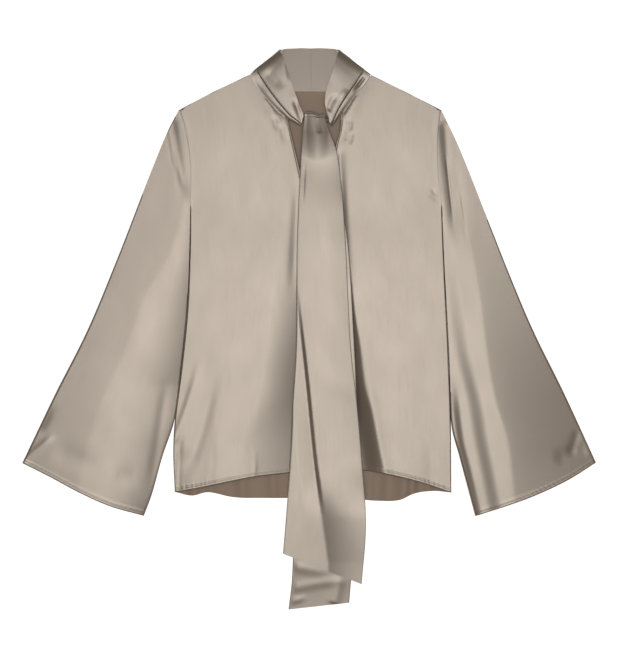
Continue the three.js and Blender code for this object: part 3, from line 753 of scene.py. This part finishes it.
# each row is a section of it: x and y at the neck seam, x and y at the upper fold, the height, how
# much of the profile shows, and how much it rises towards the upper fold
collarRows = {
    "right": [
        (2.5, 388, 2.5, 458, 6.5, 0, -4.5), (-14, 388, -12, 458.5, 6.5, 0, -4.5),
        (-36, 388.5, -26, 458, 6.5, 0, -4.5), (-62, 392.5, -37, 457.5, 6.5, 0, -4.5),
        (-80, 400.5, -43, 456.5, 6.5, 0, -4.5),
        (-91, 409.5, -47, 455.5, 6.6, 0, -3.8), (-96.2, 415.4, -48, 454, 7, 0.1, -2.2),
        (-93.1, 408.8, -46, 449, 8.4, 0.5, -0.8), (-83.6, 394.2, -41.5, 438, 9.6, 1, 0),
        (-71.6, 378.9, -36, 421, 10.4, 1, 0.4), (-58.5, 364.5, -29, 401, 11, 1, 0),
        (-46.5, 353.7, -22, 380, 11.2, 1, 0), (-34, 342.7, -15.5, 364, 11.2, 1, 0),
        (-22, 336, -12, 355, 11, 1, 0), (-14, 331.5, -9.5, 347, 10.5, 1, 0)],
    "left": [
        (2.5, 388, 2.5, 458, 6.5, 0, -4.5), (17, 388, 15, 458.5, 6.5, 0, -4.5),
        (39, 388.5, 29, 458, 6.5, 0, -4.5), (65, 392.5, 38, 457.5, 6.5, 0, -4.5),
        (83, 400.7, 44, 456.5, 6.5, 0, -4.5),
        (94, 409.2, 47, 455.5, 6.6, 0, -3.8), (99, 415.1, 48, 454, 7, 0.1, -2.2),
        (95.8, 408.6, 46, 448, 8.4, 0.5, -0.8), (86.6, 395.8, 43, 436, 9.6, 1, 0),
        (76.1, 383.2, 38, 420, 10.4, 1, 0.4), (66.5, 371.5, 32, 402, 11, 1, 0),
        (57.4, 359.9, 26.5, 384, 11.2, 1, 0), (49.4, 348.8, 25.5, 368, 11.2, 1, 0),
        (42, 338, 28, 353, 11, 1, 0), (35.5, 331, 31, 341, 10.5, 1, 0)],
}
# from the seam to the upper fold, as shares of the width and the height: the flat strip, the deep
# crease and the rounded band
collarProfile = along([(0, 0.66), (0.10, 0.75), (0.198, 0.76), (0.208, 0.60), (0.220, 0.92), (0.29, 0.97),
                       (0.42, 1.0), (0.60, 1.02), (0.80, 1.01), (1, 0.985)])
collarFolds = {
    "right": folds(
        (-37, 442, -31, 402, 4.5, -0.8, 0.3, 0.4),
        (-74, 424, -41, 389, 9, -0.9, 0.3, 0.4),
        (-26, 378, -13, 340, 5.0, -1.3, 0.4, 0),
    ),
    "left": folds(
        (31, 352, 47, 384, 5.5, -1.1, 0.2, 0.4, 3),
        (50, 372, 62, 392, 6, 0.7, 0.4, 0.5),
        (92, 413, 70, 384, 2.8, -1.5, 0.2, 0.5),
    ),
}
centreBackSeam = folds((2.5, 380, 2.5, 465, 0.6, -0.08))


def makeCollar(side):
    piece = collarPiece
    rows = smoothLine(collarRows[side], steps=piece["rowSteps"])
    reach = lengthsOf(rows[:, :4])
    places = np.linspace(0, reach[-1], piece["rows"])
    columns = [np.interp(places, reach, column)[:, None] for column in rows.T]
    seamX, seamY, foldX, foldY, height, shown, lift = columns
    q = np.linspace(-piece["tuck"], 1, piece["across"])
    profile = collarProfile(np.linspace(0, 1, piece["profileSteps"]))
    rise = np.interp(q, profile[:, 0], profile[:, 1])
    x = seamX + (foldX - seamX) * q
    y = seamY + (foldY - seamY) * q
    z = height * (1 + (rise - 1) * shown) + foldHeight(collarFolds[side], x, y) * shown
    z = z + lift * q + foldHeight(centreBackSeam, x, y) + piece["thickness"] / 2
    shell(f"collar_{side}_cloth", [np.dstack([x, y, z])], [piece["thickness"]], [satin],
          f"collar_{side}", flippedGrids=[side == "right"])


makeCollar("right")
makeCollar("left")


# The tails. The back one lies on the front of the blouse, and the front one loops over the strand
# and lies on the back one. They follow the front's height down to "held", and each tail's "drop" says
# from which y to which y it comes down to the surface.
tailPieces = {
    "held": -204, "gap": 0.8, "thickness": 1.8, "tailsApart": 0.7,
    "edgeRoll": {"deep": 0.2, "wide": 1.2}, "crownPower": 0.8, "foldsFrom": 0.3,
    "width": 110, "length": 760, "pitch": 2.6, "edge": (0.6, 1.3, 2.2, 3.4),
    "back": {
        "left": [(-5, 327), (-12, 243), (-17, 145), (-22, -34), (-27, -181), (-28, -400), (-34, -458)],
        "right": [(20, 327), (47, 226), (62, 145), (71, 10), (78, -150), (76, -311), (65, -447)],
        "crown": 0.8, "drop": (-350, -470),
        "cut": {"flat": (0.106, 0.79), "area": 0.069, "held": "laid", "restsOn": ["front_cloth"]},
        "folds": folds(
            (-40, -384, 44, -400, 9, 0.7, 0.1, 0.4),
            (-36, -426, 60, -410, 8, 0.6, 0.2, 0.3, 3),
            (-40, -448, 0, -436, 5, 0.6, 0.1, 0.5),
            (52, -400, 40, -450, 9, 0.8, 0.3, 0.1),
        ),
    },
    "front": {
        "left": [(-11, 322), (-15, 259), (-20, 140), (-21, -34), (-26, -116), (-30, -200), (-43, -366)],
        "right": [(32, 322), (44, 291), (53, 226), (59, 140), (68, -34), (77, -116), (86, -220),
                  (92, -320), (85, -415)],
        "crown": 1.2, "drop": (-222, -760),
        "cut": {"flat": (0.138, 0.77), "area": 0.07, "held": "laid", "restsOn": ["tail_back_cloth"]},
        "folds": folds(
            (22, 332, 13, 318, 3.0, 0.8, 0.2, 0.3),
            (-7, 274, -11, 200, 1.6, -0.5, 0.4, 0.4),
            (18, 240, 40, -60, 18, 0.5, 0.3, 0.6),
        ),
    },
}
# the crease down the front tail: a gentle slope to it from the left and a sharp one from the right,
# and past the hem the cloth to its right rises slowly
tailCrease = {
    "line": readAcross([(-20, 60), (-18, 31), (-4, -100), (6, -200), (16, -279), (30, -380)]),
    "grows": (80, -60), "fades": (-235, -310), "deep": 2.3, "wide": 26, "sharp": 4.5,
    "rises": (-205, -310), "rise": 0.19, "levelsOff": 95,
}
# the front tail falls from the top of the knot, and its fall is longer in the middle
knotFall = {
    "from": 343, "reach": 64, "middleReach": 9, "middle": 13, "wide": 15, "power": 1.35, "top": 29,
    "arch": 1.6, "half": 17, "archFrom": (10, 25),
}
# near the neck both tails lie a little lower
knotSag = {"grows": (190, 275), "deep": 2.6}
# the upper edge of the loop dips beside its middle
knotDip = {"at": 16, "wide": 8, "deep": 5.0, "grows": (341, 351)}
# the loop over the strand: y, height and half-width of each section, up from behind and over
loopRows = [(337, 5.7, 11), (345, 6.2, 12), (351, 9.4, 13), (353.8, 16, 13.5), (353.4, 22.2, 14.2),
            (351.6, 27.0, 15), (348.5, 28.8, 15.6), (342, 27.8, 16.2)]
loopMiddle, loopSteps = 8.5, 10
tailSteps = shares(tailPieces["width"], tailPieces["pitch"], tailPieces["edge"], tailPieces["edge"])


def underTails(x, y, drop):
    # the tails span the trough level from edge to edge, then drop past the hem to the surface
    held = np.maximum(y, tailPieces["held"])
    low, high = x[:, :1], x[:, -1:]
    atLow = frontHeight(low, held[:, :1], gathered=False)
    atHigh = frontHeight(high, held[:, -1:], gathered=False)
    onBody = atLow + (atHigh - atLow) * (x - low) / (high - low) + tailPieces["gap"]
    return onBody * (1 - eased(y, *drop))


def creaseHeight(x, y):
    form = tailCrease
    aside = x - form["line"](y)
    deep = form["deep"] * eased(y, *form["grows"]) * (1 - eased(y, *form["fades"]))
    shape = np.where(aside < 0, clamp01(1 + aside / form["wide"]), 1 - smooth(aside / form["sharp"]))
    right = np.maximum(aside, 0)
    risen = eased(y, *form["rises"])
    return form["rise"] * (right - right ** 2 / (2 * form["levelsOff"])) * risen - deep * shape


def tailGrid(name, above):
    tail, roll = tailPieces[name], tailPieces["edgeRoll"]
    q = tailSteps
    s = shares(tailPieces["length"], tailPieces["pitch"], nearEnd=tailPieces["edge"])
    left, right = along(tail["left"])(s), along(tail["right"])(s)
    flat = left[:, None] + (right - left)[:, None] * q[None, :, None]
    x, y = flat[..., 0], flat[..., 1]
    arch = np.maximum(np.sin(np.pi * q), 0)[None, :]
    raised = tail["crown"] * arch ** tailPieces["crownPower"]
    raised = raised + foldHeight(tail["folds"], x, y) * smooth(arch / tailPieces["foldsFrom"])
    fromEdge = np.minimum(q, 1 - q)[None, :] * tailPieces["width"]
    rolled = -roll["deep"] * (1 - smooth(fromEdge / roll["wide"]))
    sunk = knotSag["deep"] * eased(y, *knotSag["grows"])
    z = underTails(x, y, tail["drop"]) + above + raised + tailPieces["thickness"] + rolled - sunk
    return np.dstack([x, y, z])


def makeTailBack():
    shell("tail_back_cloth", [tailGrid("back", 0)], [tailPieces["thickness"]], [satin],
          "tail_back")


def knotArch(x):
    return knotFall["arch"] * clamp01(np.abs(x - knotFall["middle"]) / knotFall["half"]) ** 2


def makeLoop():
    y, z, half = smoothLine(loopRows, steps=loopSteps).T[..., None]
    x = loopMiddle + half * (2 * tailSteps - 1)[None, :]
    dip = knotDip["deep"] * bell(x - knotDip["at"], knotDip["wide"]) * eased(y, *knotDip["grows"])
    return np.dstack([x, y - dip, z - knotArch(x) * eased(z, *knotFall["archFrom"])])


def makeTailFront():
    thickness = tailPieces["thickness"]
    grid = tailGrid("front", thickness + tailPieces["back"]["crown"] + tailPieces["tailsApart"])
    x, y = grid[..., 0], grid[..., 1]
    grid[..., 2] += creaseHeight(x, y) + tailCrease["deep"] / 2
    reach = knotFall["reach"] + knotFall["middleReach"] * bell(x - knotFall["middle"], knotFall["wide"])
    fallen = clamp01((knotFall["from"] - y) / reach)
    extra = knotFall["top"] - grid[:1, :, 2].mean()
    grid[..., 2] += (extra - knotArch(x)) * (1 - fallen) ** knotFall["power"]
    shell("tail_front_cloth", [np.vstack([makeLoop(), grid])], [thickness], [satin],
          "tail_front")


makeTailBack()
makeTailFront()


# The strand that the loop goes over
strandPiece = {
    "x": -9.8, "toX": 29.7, "y": 340, "z": 12, "deep": 6.6, "thick": 4.4, "taper": 0.75,
    "ripple": 0.05, "ripples": 5, "thickness": 1.6, "rows": 40, "round": 36,
    "cut": {"flat": (0.034, 0.04), "area": 0.00136, "held": "folded", "restsOn": ["tail_back_cloth"]},
}


def makeStrand():
    piece = strandPiece
    t = np.linspace(0, 1, piece["rows"])[:, None]
    turn = np.linspace(0, 2 * np.pi, piece["round"], endpoint=False)[None, :]
    size = np.sqrt(1 - (2 * t - 1) ** 2 * piece["taper"])
    size = size * (1 + piece["ripple"] * np.cos(piece["ripples"] * turn))
    x = piece["x"] + (piece["toX"] - piece["x"]) * t + 0 * turn
    y = piece["y"] + piece["deep"] * size * np.cos(turn)
    z = piece["z"] + piece["thick"] * size * np.sin(turn)
    shell("strand_cloth", [np.dstack([x, y, z])], [piece["thickness"]], [satin],
          "scarf_strand", flippedGrids=[True], closed=True)


makeStrand()


# Floor, light and camera, in metres where nothing else is said
stage = {
    "floorHalf": 40, "floorColour": (0.9, 0.9, 0.9), "floorRough": 0.9, "floorGlow": 0.8,
    "world": 0.15, "worldColour": (1.0, 0.86, 0.74),
    "lamp": {"place": (0.06, 0.05, 7.0), "size": 3.3, "power": 120, "colour": (0.96, 1.02, 1.10)},
}
cameraSettings = {"lens": 120, "sensor": 36, "aside": 0.001, "raised": 0.008,
                  "pixelsHigh": 658, "millimetresPerPixel": 1.63}


def makeFloor():
    half = stage["floorHalf"]
    mesh = bpy.data.meshes.new("floor")
    mesh.from_pydata([(-half, -half, 0), (half, -half, 0), (half, half, 0), (-half, half, 0)], [],
                     [(0, 1, 2, 3)])
    floor = bpy.data.objects.new("floor", mesh)
    bpy.context.scene.collection.objects.link(floor)
    material = bpy.data.materials.new("floor")
    material.use_nodes = True
    shader = material.node_tree.nodes["Principled BSDF"]
    shader.inputs["Base Color"].default_value = (*stage["floorColour"], 1)
    shader.inputs["Roughness"].default_value = stage["floorRough"]
    shader.inputs["Emission Color"].default_value = (1, 1, 1, 1)
    shader.inputs["Emission Strength"].default_value = stage["floorGlow"]
    mesh.materials.append(material)


def makeLights():
    world = bpy.data.worlds.new("studio")
    world.use_nodes = True
    background = world.node_tree.nodes["Background"]
    background.inputs["Color"].default_value = (*stage["worldColour"], 1)
    background.inputs["Strength"].default_value = stage["world"]
    bpy.context.scene.world = world
    settings = stage["lamp"]
    lamp = bpy.data.lights.new("key", "AREA")
    lamp.size = settings["size"]
    lamp.energy = settings["power"]
    lamp.color = settings["colour"]
    holder = bpy.data.objects.new("key", lamp)
    holder.location = settings["place"]
    direction = -holder.location
    holder.rotation_euler = direction.to_track_quat("-Z", "Y").to_euler()
    holder.visible_camera = False
    bpy.context.scene.collection.objects.link(holder)


def makeCamera():
    settings = cameraSettings
    tall = settings["pixelsHigh"] * settings["millimetresPerPixel"] * metre
    away = tall * settings["lens"] / settings["sensor"] + settings["raised"]
    camera = bpy.data.cameras.new("camera")
    camera.lens, camera.sensor_width = settings["lens"], settings["sensor"]
    holder = bpy.data.objects.new("camera", camera)
    holder.location = (settings["aside"], 0.0, away)
    bpy.context.scene.collection.objects.link(holder)
    bpy.context.scene.camera = holder
    bpy.context.scene.view_settings.view_transform = "Standard"


makeFloor()
makeLights()
makeCamera()
print("stage, lights and camera made")
